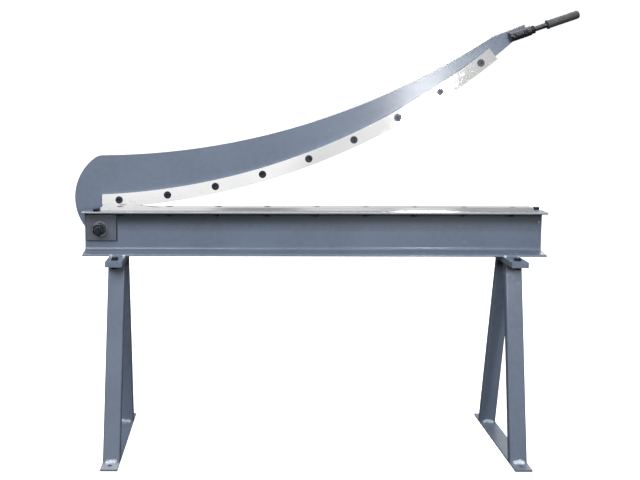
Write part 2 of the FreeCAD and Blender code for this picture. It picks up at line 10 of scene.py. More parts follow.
import bmesh
import bpy
import numpy as np
from bpy.props import FloatProperty, FloatVectorProperty, IntProperty, PointerProperty
from bpy.types import Operator, Panel, PropertyGroup
from mathutils import Matrix, Vector


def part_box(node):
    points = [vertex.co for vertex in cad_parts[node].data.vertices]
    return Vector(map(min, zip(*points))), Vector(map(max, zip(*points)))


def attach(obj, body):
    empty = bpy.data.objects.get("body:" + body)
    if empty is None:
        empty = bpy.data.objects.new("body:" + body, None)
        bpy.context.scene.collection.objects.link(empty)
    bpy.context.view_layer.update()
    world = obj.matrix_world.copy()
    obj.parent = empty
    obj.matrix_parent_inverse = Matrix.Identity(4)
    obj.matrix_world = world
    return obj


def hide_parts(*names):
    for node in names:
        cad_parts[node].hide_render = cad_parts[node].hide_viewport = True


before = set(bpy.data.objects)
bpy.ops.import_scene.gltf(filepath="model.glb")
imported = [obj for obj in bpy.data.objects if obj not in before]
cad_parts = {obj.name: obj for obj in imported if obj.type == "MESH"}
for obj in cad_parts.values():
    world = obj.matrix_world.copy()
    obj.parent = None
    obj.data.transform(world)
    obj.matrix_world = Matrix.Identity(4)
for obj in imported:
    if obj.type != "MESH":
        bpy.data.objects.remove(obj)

bl_info = {
    "name": "Guillotine Shear Looks",
    "version": (1, 0, 0),
    "blender": (4, 5, 0),
    "location": "View3D > Sidebar > Shear",
    "description": "Paint, ground steel, weld beads and threads for a hand-lever guillotine shear",
    "category": "Object",
}

FIXED = "stand_and_bed"
MOVING = "arm"
MM = 0.001
UP = np.array((0.0, 0.0, 1.0))
FRONT = np.array((0.0, -1.0, 0.0))
BACK = -FRONT

# X runs along the bed, Y from the operator's side to the back and Z up.
# The centre of the upper blade's arc, as X and Z, and how far under a top the painted shade begins and is
# darkest.
BLADE_ARC_CENTRE = (-0.733, 2.775)
BED_SHADE_DEPTHS = (59 * MM, 21 * MM)
LEG_SHADE_DEPTHS = (36 * MM, 12 * MM)
ANCHOR_INSET = 24 * MM

# The legs: the run of one along X, Y and Z, its depth, and its outer face on the foot plate.
LEG_SLANT = (0.0, 107.5, 568.0)
LEG_DEPTH = 25.0 * MM
LEG_OUTER_FACE = 156.0 * MM
LUG_BEAD_REACH = 5.6 * MM
FIRST_FOOT_SEED = 11
FIRST_LUG_SEED = 41

# Colours that show in small areas of the materials.
PALE_EDGE_WEAR_AND_HIGHLIGHT = (0.42, 0.44, 0.47)
PAINT_SPECK = (0.4, 0.42, 0.45)
DUST_AND_SHEEN = (0.5, 0.49, 0.54)
PAINTED_SHADE_COLOUR = (0.02, 0.021, 0.023)
WORN_STEEL = (0.62, 0.63, 0.66)
STAIN = (0.42, 0.4, 0.37)
GROUND_EDGE = (0.95, 0.95, 0.96)
RUBBED_AND_HIGHLIT_STEEL = (0.45, 0.46, 0.49)
PLATED_EDGE = (0.85, 0.86, 0.88)
RUBBED_HANDLE = (0.4, 0.41, 0.41)
PIT_SHADE = (0.08, 0.08, 0.09)
HOLE_SHADE = (0.01, 0.01, 0.012)
FAR_GLOW = (1.15, 1.15, 1.15)

PAINTED = (
    "lug_front_left", "lug_front_right", "lug_back_left", "lug_back_right",
    "cap_plate_left", "cap_plate_right", "arm_stop_bracket", "arm_plate",
)
LEGS = ("front_leg_left", "front_leg_right", "back_leg_left", "back_leg_right")
BLACKENED = ("lug_nuts", "arm_stop_lock_nut", "socket_nuts")
ZINCED = ("pivot_front_washer", "pivot_back_washer", "pivot_spacer", "socket_washers")

# Hexagon bolts: piece, node, across flats, head's height, shank's diameter, pitch and threaded length in
# millimetres, direction of the head and finish.
BOLTS = (
    # The pivot bolt's finish paints a bright highlight round its rim.
    ("pivot_bolt_threaded", "pivot_bolt", 36, 15, 24, 3.0, 34, BACK, "rubbed_oxide"),
    ("lug_bolts_threaded", "lug_bolts", 19, 7.5, 12, 1.75, 16, UP, "black_oxide"),
    ("flange_bolt_threaded", "flange_bolt", 19, 7.5, 12, 1.75, 8, UP, "black_oxide"),
    ("stop_screw_threaded", "arm_stop_screw", 17, 7, 10, 1.5, 13, BACK, "slate_paint"),
    ("stop_bolt_threaded", "arm_stop_bolt", 17, 7, 10, 1.5, 18, UP, "black_oxide"),
)

# Area lights: place, the point that they face, width and height in metres; their powers are settings.
SOFTBOXES = {
    "key": ((-1.5, -2.6, 2.75), (-0.1, 0.0, 0.75), 2.4, 1.3),
    "top": ((0.1, 0.3, 3.4), (0.0, 0.0, 0.6), 3.2, 1.8),
    "rear": ((1.3, 3.4, 2.7), (0.0, 0.0, 0.6), 2.4, 1.2),
    "bar": ((0.1, -1.7, 2.8), (0.1, 0.0, 0.6), 4.4, 0.22),
    "strip": ((0.93, -2.45, 1.15), (0.36, 0.04, 1.07), 0.24, 0.8),
}
FLOOR_HALF = 30.0

# The camera: its place, its yaw, pitch and roll in degrees, and its shift as a share of the picture's width.
CAMERA_PLACE = (-0.2148, -2.3391, 1.0803)
CAMERA_TURN = (0.11, -4.83, 0.13)
CAMERA_SHIFT = (0.119, -0.125)


# Settings

class PaintSettings(PropertyGroup):
    """The slate paint of the stands, the bed and the arm."""
    colour: FloatVectorProperty(name="Paint", description="Colour of the slate paint", subtype="COLOR",
                                size=3, min=0, max=1, default=(0.122, 0.153, 0.209))
    plate: FloatVectorProperty(name="Plate", description="Colour of the paint on the pivot's plate",
                               subtype="COLOR", size=3, min=0, max=1, default=(0.095, 0.108, 0.138))
    roughness: FloatProperty(name="Roughness", description="How soft the paint's reflections are",
                             default=0.24, min=0, max=1, subtype="FACTOR")
    peel_pitch: FloatProperty(name="Peel pitch", description="Width of the sprayed paint's small waves",
                              default=0.0032, unit="LENGTH")
    peel_depth: FloatProperty(name="Peel depth", description="Height of the sprayed paint's small waves",
                              default=0.000035, unit="LENGTH")
    edge_width: FloatProperty(name="Edge width", description="How far paint thins from a sharp edge",
                              default=0.0016, unit="LENGTH")
    edge_wear_and_highlight: FloatProperty(name="Edge wear", description="How much of the edge shows paler",
                             default=0.4, min=0, max=1, subtype="FACTOR")


class SteelSettings(PropertyGroup):
    """Bare, blackened and zinc-plated steel."""
    ground: FloatVectorProperty(name="Ground steel", description="Colour of the ground blades",
                                subtype="COLOR", size=3, min=0, max=1, default=(0.965, 0.967, 0.97))
    blackened: FloatVectorProperty(name="Black oxide", description="Colour of the blackened fasteners",
                                   subtype="COLOR", size=3, min=0, max=1, default=(0.012, 0.015, 0.024))
    zinced: FloatVectorProperty(name="Zinc", description="Colour of the plated washers", subtype="COLOR",
                                size=3, min=0, max=1, default=(0.36, 0.37, 0.4))
    bronze: FloatVectorProperty(name="Bronze", description="Colour of the pivot's bush", subtype="COLOR",
                                size=3, min=0, max=1, default=(0.55, 0.36, 0.15))
    handle: FloatVectorProperty(name="Handle steel", description="Colour of the handle's socket and rod",
                                subtype="COLOR", size=3, min=0, max=1, default=(0.034, 0.036, 0.04))
    grip: FloatVectorProperty(name="Grip", description="Colour of the grip", subtype="COLOR",
                              size=3, min=0, max=1, default=(0.036, 0.038, 0.04))


class WeldSettings(PropertyGroup):
    """Weld beads at the feet and the lugs."""
    colour: FloatVectorProperty(name="Weld", description="Colour of the bright weld metal", subtype="COLOR",
                                size=3, min=0, max=1, default=(0.68, 0.73, 0.82))
    foot_leg: FloatProperty(name="Foot bead", description="How far a foot bead reaches along each face",
                            default=0.0085, unit="LENGTH")
    ripple_pitch: FloatProperty(name="Ripple pitch", description="Distance between the bead's ripples",
                                default=0.0036, unit="LENGTH")
    ripple: FloatProperty(name="Ripple", description="Height of the ripples as a share of the bead",
                          default=0.16, min=0, max=0.5, subtype="FACTOR")
    wander: FloatProperty(name="Wander", description="How unevenly the bead's size changes along it",
                          default=0.16, min=0, max=0.5, subtype="FACTOR")


class ThreadSettings(PropertyGroup):
    """The turned and threaded fasteners."""
    segments: IntProperty(name="Segments", description="Points round a bolt, a multiple of 12",
                          default=60, min=24, max=120)
    depth: FloatProperty(name="Thread depth", description="Depth of a thread as a share of its pitch",
                         default=0.54, min=0.1, max=0.65, subtype="FACTOR")


class StageSettings(PropertyGroup):
    """Floor, light and camera."""
    floor: FloatVectorProperty(name="Floor", description="Colour of the floor", subtype="COLOR",
                               size=3, min=0, max=1, default=(0.9, 0.9, 0.9))
    floor_glow: FloatProperty(name="Floor glow", description="The floor's own brightness near the stands",
                              default=0.75, min=0)
    backdrop: FloatProperty(name="Backdrop", description="Brightness of the backdrop that the camera sees",
                            default=1.3, min=0)
    around: FloatProperty(name="Around", description="Brightness of the soft light from all round",
                          default=0.25, min=0)
    front: FloatProperty(name="Front", description="Brightness of the pale light in front",
                         default=1.0, min=0)
    back: FloatProperty(name="Back", description="Brightness of the pale light behind",
                        default=0.97, min=0)
    below: FloatProperty(name="Below", description="Brightness of the light from below",
                         default=0.05, min=0)
    key: FloatProperty(name="Key light", description="Power of the large light in front", default=88.0,
                       unit="POWER")
    top: FloatProperty(name="Top light", description="Power of the light overhead", default=56.0,
                       unit="POWER")
    strip: FloatProperty(name="Strip light", description="Power of the tall light towards the handle",
                         default=24.0, unit="POWER")
    rear: FloatProperty(name="Rear light", description="Power of the large light behind", default=60.0,
                        unit="POWER")
    bar: FloatProperty(name="Bar light", description="Power of the long light high in front",
                       default=32.0, unit="POWER")
    lens: FloatProperty(name="Lens", description="Focal length of the camera on a 36 mm frame",
                        default=43.5, min=1)


# Materials

class Value:
    """A number in a material: arithmetic on it adds Math nodes."""

    def __init__(self, finish, socket):
        self.finish = finish
        self.socket = socket

    def math(self, operation, *others, first=None):
        values = (self if first is None else first,) + others
        return self.finish.node("ShaderNodeMath", {"operation": operation}, dict(enumerate(values)))

    def __add__(self, other):
        return self.math("ADD", other)

    def __sub__(self, other):
        return self.math("SUBTRACT", other)

    def __mul__(self, other):
        return self.math("MULTIPLY", other)

    def __rsub__(self, other):
        return self.math("SUBTRACT", self, first=other)

    def __pow__(self, other):
        return self.math("POWER", other)

    def __abs__(self):
        return self.math("ABSOLUTE")

    __radd__ = __add__
    __rmul__ = __mul__

    def step(self, low, high):
        """0 below the low value, 1 above the high one and a soft ramp between them."""
        settings = {"interpolation_type": "SMOOTHSTEP"}
        return self.finish.node("ShaderNodeMapRange", settings, {0: self, 1: low, 2: high})


class Finish:
    """One material, or the light from all round. Every node is added by node()."""

    def __init__(self, name):
        self.material = bpy.data.materials.new(name)
        self.material.use_nodes = True
        self.tree = self.material.node_tree
        self.tree.nodes.clear()
        self.place = self.node("ShaderNodeTexCoord", output="Object")

    @classmethod
    def for_world(cls, world):
        """The same tools for the light from all round; its place is the direction looked in."""
        made = cls.__new__(cls)
        made.tree = world.node_tree
        made.tree.nodes.clear()
        made.place = made.node("ShaderNodeTexCoord", output="Generated")
        return made

    def finish_world(self, strength):
        """The light from all round, with the given brightness."""
        glow = self.node("ShaderNodeBackground", {}, {"Strength": strength})
        self.node("ShaderNodeOutputWorld", {}, {"Surface": glow})

    def node(self, kind, settings=None, values=None, output=0):
        """Any node: its settings are set first, and then a value or a link for each socket that is given."""
        made = self.tree.nodes.new(kind)
        for name, value in (settings or {}).items():
            setattr(made, name, value)
        for key, value in (values or {}).items():
            socket = made.inputs[key]
            if isinstance(value, Value):
                self.tree.links.new(value.socket, socket)
            else:
                socket.default_value = value
        if made.outputs:
            return Value(self, made.outputs[output])

    def stretched(self, x, y, z):
        """The place on the part, multiplied along each axis."""
        return self.node("ShaderNodeVectorMath", {"operation": "MULTIPLY"}, {0: self.place, 1: (x, y, z)})

    def noise(self, scale, detail=2.0, where=None, roughness=0.5):
        """Clouds from 0 to 1, mostly near 0.5, with scale clouds to a metre."""
        values = {"Vector": where or self.place, "Scale": scale, "Detail": detail, "Roughness": roughness}
        return self.node("ShaderNodeTexNoise", {}, values)

    def cells(self, scale):
        """Distance to the nearest of many scattered points."""
        values = {"Vector": self.place, "Scale": scale}
        return self.node("ShaderNodeTexVoronoi", {"feature": "F1"}, values, output="Distance")

    def axis(self, letter, where=None):
        """The place, or another vector, along X, Y or Z."""
        return self.node("ShaderNodeSeparateXYZ", {}, {0: where or self.place}, output=letter)

    def facing(self):
        """The surface's own normal, without bumps."""
        return self.node("ShaderNodeNewGeometry", output="Normal")

    def stored(self, name):
        """A number kept at the points of a mesh."""
        return self.node("ShaderNodeAttribute", {"attribute_name": name}, output="Fac")

    def mix(self, share, first, second):
        """A colour between two, by a share from 0 to 1."""
        first, second = (c if isinstance(c, Value) else (*c, 1.0) for c in (first, second))
        return self.node("ShaderNodeMix", {"data_type": "RGBA"}, {0: share, 6: first, 7: second}, output=2)

    def edges(self, width, low=0.01, high=0.16):
        """How near a sharp edge is, from 0 to 1, and the rounded-off normal that tells it by its lean."""
        rounded = self.node("ShaderNodeBevel", {"samples": 4}, {"Radius": width})
        values = {0: rounded, 1: self.facing()}
        same = self.node("ShaderNodeVectorMath", {"operation": "DOT_PRODUCT"}, values, output="Value")
        return (1 - same).step(low, high), rounded

    def bump(self, height, distance, normal=None, strength=1.0):
        """A normal that leans as if the surface rose by distance times height, in metres."""
        values = {"Height": height, "Distance": distance, "Strength": strength}
        if normal is not None:
            values["Normal"] = normal
        return self.node("ShaderNodeBump", {}, values)

    def done(self, **sockets):
        """Principled shader with the given sockets; names use _ for spaces."""
        values = {}
        for key, value in sockets.items():
            name = key.replace("_", " ")
            if name.endswith("Color") and not isinstance(value, Value):
                value = (*value, 1.0)
            values[name] = value
        shader = self.node("ShaderNodeBsdfPrincipled", {}, values)
        self.node("ShaderNodeOutputMaterial", {}, {"Surface": shader})
        return self.material


def lighter(colour, factor):
    """A colour multiplied by a factor, held at 1."""
    return tuple(min(1.0, c * factor) for c in colour)


def slate_paint(paint, name, colour, dust_and_sheen=0.0, painted_shade_heights=None, bed=False):
    """Sprayed slate paint: small waves, pale edges of wear and painted highlight, faint clouds, a few nibs.

    Upward faces at the operator's side are paled by a painted sheen, with dust in patches. Painted shade
    darkens it between two heights. On the bed a painted shadow also lines the pivot's plate, and the top
    flange's front edge, where sheets slide, is worn to the metal.
    """
    finish = Finish(name)
    clouds = finish.noise(3.5, 3.0)
    fine = finish.noise(55.0, 3.0)
    edge, rounded = finish.edges(paint.edge_width)
    # Sharp edges paled: worn paint, with a painted highlight along them.
    pale_edge_wear_and_highlight = (edge * (finish.noise(140.0, 3.0) * 0.9 + 0.25)) * paint.edge_wear_and_highlight
    specks = 1 - finish.cells(210.0).step(0.035, 0.07)
    nibs = specks * finish.noise(26.0, 1.0).step(0.58, 0.66)
    tone = clouds.step(0.3, 0.7)
    base = finish.mix(tone, lighter(colour, 0.92), lighter(colour, 1.1))
    base = finish.mix(fine.step(0.35, 0.65) * 0.3, base, lighter(colour, 1.18))
    base = finish.mix(pale_edge_wear_and_highlight, base, PALE_EDGE_WEAR_AND_HIGHLIGHT)
    base = finish.mix(nibs * 0.55, base, PAINT_SPECK)
    rough = paint.roughness + (finish.noise(9.0, 2.0) - 0.5) * 0.12 + (fine - 0.5) * 0.08
    # Upward faces at the operator's side pale: a painted sheen of light on the tops, with dust in patches.
    if dust_and_sheen:
        upward = finish.axis("Z", finish.facing()).step(0.7, 0.95)
        near = 1 - finish.axis("Y").step(-0.17, -0.13)
        base = finish.mix(upward * near * (finish.noise(30.0, 3.0) + 0.5) * dust_and_sheen, base, DUST_AND_SHEEN)
    metallic = 0.0
    # Painted shade: darker and rougher between two heights, for the shadow under the top flange and the caps.
    if painted_shade_heights:
        y, z = finish.axis("Y"), finish.axis("Z")
        darkening = z.step(*painted_shade_heights)
        # On the bed, a painted shadow also runs round the pivot's plate.
        if bed:
            bed_front, bed_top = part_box("bed_channel")[0].y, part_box("bed_channel")[1].z
            low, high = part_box("pivot_plate")
            beside = abs(finish.axis("X") - (low.x + high.x) / 2) - (high.x - low.x) / 2
            above = abs(z - (low.z + high.z) / 2) - (high.z - low.z) / 2
            line = 1 - beside.math("MAXIMUM", above).step(1.5 * MM, 4.5 * MM)
            on_web = y.step(bed_front + 3.5 * MM, bed_front + 9.5 * MM)
            under_top = 1 - z.step(bed_top - 3.5 * MM, bed_top - 2.5 * MM)
            darkening = darkening.math("MAXIMUM", line) * on_web * under_top
        base = finish.mix(darkening * 0.8, base, PAINTED_SHADE_COLOUR)
        rough = rough + darkening * 0.3
    if bed:
        front_edge = 1 - y.step(bed_front + 0.1 * MM, bed_front + 1.1 * MM)
        on_flange = z.step(bed_top - 7.5 * MM, bed_top - 5.5 * MM)
        worn = front_edge * on_flange * (finish.noise(6.0, 2.0) * 0.4 + 0.6)
        base = finish.mix(worn, base, WORN_STEEL)
        metallic = worn * 0.6
    peel = finish.noise(1.0 / paint.peel_pitch, 2.0, roughness=0.45)
    normal = finish.bump(peel + nibs * 1.4, paint.peel_depth * 2, rounded, 0.3)
    return finish.done(Base_Color=base, Roughness=rough, Normal=normal, Coat_Weight=0.12, Coat_Roughness=0.12,
                       Specular_IOR_Level=0.4, Metallic=metallic)


def ground_steel(steel, name, centre=None):
    """Steel with fine grinding lines: straight along X, or arcs about a centre for the curved blade."""
    finish = Finish(name)
    if centre is None:
        where = finish.stretched(2.5, 320.0, 320.0)
        slow = finish.stretched(2.2, 6.0, 6.0)
    else:
        x = finish.axis("X") - centre[0]
        z = finish.axis("Z") - centre[1]
        radius = (x * x + z * z) ** 0.5
        turn = x.math("ARCTAN2", z)
        where = finish.node("ShaderNodeCombineXYZ", {}, {0: turn * 9.0, 1: radius * 320.0, 2: 0.0})
        slow = finish.node("ShaderNodeCombineXYZ", {}, {0: turn * 7.0, 1: radius * 6.0, 2: 0.0})
    lines = finish.noise(1.0, 4.0, where, 0.6)
    coarse = finish.noise(0.35, 2.0, where, 0.5)
    film = finish.noise(1.0, 3.0, slow, 0.55)
    edge = finish.edges(0.0007)[0]
    stain = finish.noise(38.0, 4.0, roughness=0.62).step(0.6, 0.74)
    shade = finish.mix(film.step(0.3, 0.72), lighter(steel.ground, 0.89), steel.ground)
    shade = finish.mix((lines - 0.35) * 0.4, shade, lighter(steel.ground, 0.66))
    shade = finish.mix(stain * 0.14, shade, STAIN)
    shade = finish.mix(edge * 0.35, shade, GROUND_EDGE)
    rough = 0.06 + (lines - 0.5) * 0.045 + (film - 0.5) * 0.06 + stain * 0.08
    normal = finish.bump(lines * 0.6 + coarse * 0.4, 0.00003, strength=0.25)
    return finish.done(Base_Color=shade, Metallic=0.95, Roughness=rough, Normal=normal)


def black_oxide(steel, name, rub_and_highlight_width, rub_and_highlight):
    """Blackened steel, bluish, paler and rougher in patches, rubbed bright on its corners.
    Where the rim is set wide, as on the pivot's nut and bolt, that brightness is a painted highlight.
    """
    finish = Finish(name)
    patch = finish.noise(120.0, 3.0).step(0.35, 0.7)
    grain = finish.noise(900.0, 2.0)
    edge, rounded = finish.edges(rub_and_highlight_width)
    rubbed = edge * finish.noise(260.0, 3.0).step(0.4, 0.62) * rub_and_highlight
    base = finish.mix(patch, steel.blackened, lighter(steel.blackened, 2.0))
    base = finish.mix(rubbed, base, RUBBED_AND_HIGHLIT_STEEL)
    rough = 0.26 + patch * 0.14 + (grain - 0.5) * 0.1
    normal = finish.bump(grain, 0.00002, rounded, 0.5)
    return finish.done(Base_Color=base, Metallic=0.5, Roughness=rough, Normal=normal)


def zinc_plate(steel):
    """Plated washers: a bright film with faint tumbling marks and dull spots."""
    finish = Finish("zinc_plate")
    marks = finish.noise(420.0, 3.0, finish.stretched(1.0, 3.0, 1.0))
    dull = finish.noise(95.0, 3.0).step(0.45, 0.7)
    edge, rounded = finish.edges(0.0006)
    base = finish.mix(dull * 0.6, steel.zinced, lighter(steel.zinced, 0.72))
    base = finish.mix(edge * 0.5, base, PLATED_EDGE)
    rough = 0.28 + dull * 0.16 + (marks - 0.5) * 0.1
    normal = finish.bump(marks, 0.00003, rounded, 0.5)
    return finish.done(Base_Color=base, Metallic=0.95, Roughness=rough, Normal=normal)


def bush_bronze(steel):
    """Turned bronze with fine lathe lines round the bore."""
    finish = Finish("bush_bronze")
    lines = finish.noise(1.0, 2.0, finish.stretched(6.0, 2500.0, 6.0))
    base = finish.mix(finish.noise(160.0, 3.0), lighter(steel.bronze, 0.8), lighter(steel.bronze, 1.15))
    normal = finish.bump(lines, 0.00003)
    return finish.done(Base_Color=base, Metallic=0.95, Roughness=0.3 + lines * 0.12, Normal=normal)


def handle_steel(steel):
    """Oiled dark steel, turned: satin with scuffs and rubbed edges."""
    finish = Finish("handle_steel")
    scuff = finish.noise(70.0, 4.0, finish.stretched(1.0, 2.0, 2.5), 0.6)
    grain = finish.noise(1300.0, 2.0)
    edge = finish.edges(0.0009, 0.06, 0.3)[0]
    base = finish.mix(scuff.step(0.35, 0.75), steel.handle, lighter(steel.handle, 1.6))
    base = finish.mix(edge * scuff.step(0.38, 0.55) * 0.3, base, RUBBED_HANDLE)
    rough = 0.3 + (scuff - 0.5) * 0.2 + (grain - 0.5) * 0.06
    normal = finish.bump(grain, 0.00002, strength=0.15)
    return finish.done(Base_Color=base, Metallic=0.7, Roughness=rough, Normal=normal,
                       Coat_Weight=0.6, Coat_Roughness=0.18)


def bright_rod(steel):
    """The handle's plain rod: dull bright steel with drawing lines along it."""
    finish = Finish("bright_rod")
    lines = finish.noise(1.0, 3.0, finish.stretched(60.0, 900.0, 700.0))
    darkening = finish.noise(130.0, 3.0).step(0.42, 0.7)
    base = finish.mix(darkening * 0.6, lighter(steel.zinced, 0.2), lighter(steel.handle, 1.2))
    return finish.done(Base_Color=base, Metallic=0.9, Roughness=0.34 + (lines - 0.5) * 0.2 + darkening * 0.12,
                       Normal=finish.bump(lines, 0.00002, strength=0.2))


def grip_skin(steel):
    """The grip's moulded rubber: a fine matt grain, polished in patches by hands."""
    finish = Finish("grip_skin")
    grain = finish.cells(1500.0)
    polish = finish.noise(48.0, 3.0).step(0.4, 0.7)
    base = finish.mix(polish, steel.grip, lighter(steel.grip, 1.5))
    rough = 0.46 - polish * 0.1 + (grain - 0.3) * 0.1
    return finish.done(Base_Color=base, Roughness=rough, Normal=finish.bump(grain, 0.00004, strength=0.3),
                       Specular_IOR_Level=0.5)


def weld_metal(weld, name, painted=None):
    """Bright weld metal: silvery crests, painted shade in the valleys, root, ends and pits.
    A painted bead is bare at its ends only.
    """
    finish = Finish(name)
    crest = finish.stored("crest")
    grain = finish.noise(700.0, 3.0)
    pits = 1 - finish.cells(520.0).step(0.08, 0.16)
    patch = finish.noise(90.0, 3.0).step(0.38, 0.62)
    # Darker away from the ripples' crests: painted shade in the valleys, at the root and at the ends.
    base = finish.mix(crest, lighter(weld.colour, 0.42), lighter(weld.colour, 1.25))
    base = finish.mix(patch * 0.4, base, lighter(weld.colour, 0.6))
    # Dark pits: painted shade in the pits.
    base = finish.mix(pits * 0.5, base, PIT_SHADE)
    rough = 0.3 + (grain - 0.5) * 0.3 + patch * 0.14
    metallic = 0.55
    if painted:
        bare = 1 - (finish.stored("from_end") + (finish.noise(170.0, 2.0) - 0.5) * 0.3).step(0.1, 0.22)
        base = finish.mix(bare, painted, base)
        metallic = bare * 0.55
    return finish.done(Base_Color=base, Metallic=metallic, Roughness=rough,
                       Normal=finish.bump(grain - pits * 0.6, 0.00012, strength=0.6))


# Surfaces

def mesh_piece(name, points, faces, material, body, slot, smooth=32.0, **attributes):
    """A piece from an array of points and arrays of corner numbers, one per face size, riding on a body."""
    mesh = bpy.data.meshes.new(name)
    corners = np.concatenate([part.ravel() for part in faces]).astype(np.int32)
    sizes = np.concatenate([np.full(len(part), part.shape[1]) for part in faces]).astype(np.int32)
    mesh.vertices.add(len(points))
    mesh.loops.add(len(corners))
    mesh.polygons.add(len(sizes))
    mesh.vertices.foreach_set("co", points.astype(np.float32).ravel())
    mesh.loops.foreach_set("vertex_index", corners)
    mesh.polygons.foreach_set("loop_start", np.concatenate(([0], np.cumsum(sizes)[:-1])).astype(np.int32))
    mesh.polygons.foreach_set("use_smooth", np.ones(len(sizes), bool))
    mesh.update(calc_edges=True)
    mesh.validate()
    mesh.set_sharp_from_angle(angle=math.radians(smooth))
    for key, values in attributes.items():
        stored = mesh.attributes.new(key, "FLOAT", "POINT")
        stored.data.foreach_set("value", values.astype(np.float32).ravel())
    mesh.materials.append(material)
    piece = bpy.data.objects.new(name, mesh)
    bpy.context.scene.collection.objects.link(piece)
    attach(piece, body)
    return piece


def ring_faces(rows, columns):
    """Quads of a grid whose columns close into a ring, and a fan face that closes each end row."""
    number = np.arange(rows * columns).reshape(rows, columns)
    after = np.roll(number, -1, axis=1)
    quads = np.stack([number[:-1], after[:-1], after[1:], number[1:]], -1).reshape(-1, 4)
    return quads, number[0][::-1][None, :], number[-1][None, :]


def repeated(points, faces, copies):
    """Face numbers for several copies of the same points."""
    shift = np.arange(copies)[:, None, None] * len(points)
    return [(part[None] + shift).reshape(-1, part.shape[1]) for part in faces]


def weld_bead(start, end, first, second, reach, settings, seed):
    """A weld bead: its root runs straight from start to end in the corner of two faces.

    s runs along the bead and t across it. Its section is a quarter turn from one face to the other, a
    little fuller than a flat fillet. Along it the size swells with crescent ripples (a wave of the
    distance, held back at the middle of the section), wanders by a few slow seeded sines and closes in a
    half round at both ends.
    """
    start, end, first, second = (np.asarray(v, float) for v in (start, end, first, second))
    rows, columns = 120, 17
    fullness, root_depth = 0.86, 0.3 * MM
    bow, stray, skew, peak, tilt = 0.55, 0.15, 0.7, 1.6, 0.1
    run = np.linalg.norm(end - start)
    s = np.linspace(0.0, 1.0, rows)[:, None]
    t = np.linspace(0.0, 1.0, columns)[None, :]
    draw = np.random.default_rng(seed)
    phases = draw.uniform(0.0, 2 * math.pi, (2, 4))
    slow = sum(np.sin(2 * math.pi * (k + 1.3) * s + phases[0, k]) / (k + 1.3) for k in range(4))
    lean = sum(np.sin(2 * math.pi * (k + 0.8) * s + phases[1, k]) / (k + 0.8) for k in range(4))
    end_round = reach / run
    from_end = np.clip(np.minimum(s, 1 - s) / end_round, 0.0, 1.0)
    closing = np.sqrt(np.clip(1 - (1 - from_end) ** 2, 0.004, 1.0))
    turn = s * run / settings.ripple_pitch - bow * np.sin(math.pi * t) + stray * slow
    wave = (turn % 1.0) ** skew
    crest = 1 - np.abs(2 * wave - 1) ** peak
    swell = settings.ripple * (crest - 0.5) * np.sin(math.pi * t)
    size = reach * closing * (1 + settings.wander * 0.5 * slow + swell)
    a = np.cos(math.pi * t / 2) ** fullness * (1 + tilt * lean)
    b = np.sin(math.pi * t / 2) ** fullness * (1 - tilt * lean)
    line = (start + (end - start) * s)[:, None, :]
    skin = line + (size * a)[..., None] * first + (size * b)[..., None] * second
    root = line - root_depth * (first + second)
    points = np.concatenate([skin, root], axis=1)
    crests = np.concatenate([crest * closing, np.zeros((rows, 1))], axis=1)
    from_end = np.minimum(s, 1 - s) + np.zeros((1, columns + 1))
    return points.reshape(-1, 3), crests.ravel(), from_end.ravel(), ring_faces(rows, columns + 1)


def beads_piece(name, beads, material, slot, node):
    """Several beads as one piece that stands for a node of the frame."""
    points, crests, ends, faces = zip(*beads)
    shifts = np.cumsum([0] + [len(p) for p in points])
    faces = [np.concatenate([part + shift for part, shift in zip(group, shifts)]) for group in zip(*faces)]
    piece = mesh_piece(name, np.concatenate(points), faces, material, FIXED, slot,
                       smooth=60.0, crest=np.concatenate(crests), from_end=np.concatenate(ends))
    normals_outward(piece)
    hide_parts(node)


def normals_outward(piece):
    """Turn every face of a closed mesh outwards."""
    work = bmesh.new()
    work.from_mesh(piece.data)
    bmesh.ops.recalc_face_normals(work, faces=work.faces)
    work.to_mesh(piece.data)
    work.free()


# The rows of turned pieces, in metres: a limit that is never reached, the radius that closes a surface in
# its middle, and the breaks of an edge, of a socket's rim, of a sunk head's rim and of a hexagon head's land.
NEVER = 1.0e3
POLE = 0.00001
BREAK = 0.0002
SOCKET_BREAK = 0.0004
SUNK_BREAK = 0.0003
LAND_BREAK = 0.0012

# A hexagon head's land as a share of its flats, its corners' angle and the rows that show it; a thread's
# rows to a turn, and the slope and the flat crest of its triangle wave.
HEAD_LAND = 0.95
HEAD_ANGLE = math.radians(30)
HEAD_ROWS = 6
ROWS_PER_TURN = 8
FLANK_SLOPE = 1.25
CREST_FLAT = 0.12


def hexagon_share(angle):
    """How much farther than its flats a hexagon reaches at an angle; a corner is at 30 degrees."""
    sixth = math.pi / 3
    return 1 / np.cos((angle + sixth / 2) % sixth - sixth / 2)


def turned_points(rows, segments, pitch, depth):
    """A turned, partly hexagonal and threaded surface on a grid of height by angle.

    Each row is (height, radius, hexagonal, limit, threaded). The radius is multiplied by a hexagon's reach
    where the row is hexagonal, held under the limit, and cut by a triangle wave of height and angle that
    makes one right-hand turn per pitch where the row is threaded.
    """
    z, r, hexagonal, limit, threaded = (np.array(column, float)[:, None] for column in zip(*rows))
    angle = np.arange(segments)[None, :] * (2 * math.pi / segments)
    reach = np.minimum(r * np.where(hexagonal > 0, hexagon_share(angle), 1.0), limit)
    turn = (z / pitch - angle / (2 * math.pi)) % 1.0
    groove = np.clip(np.abs(2 * turn - 1) * FLANK_SLOPE - CREST_FLAT, 0, 1)
    reach = reach - threaded * depth * pitch * groove
    return np.stack([reach * np.cos(angle), reach * np.sin(angle), z + 0 * angle], -1)


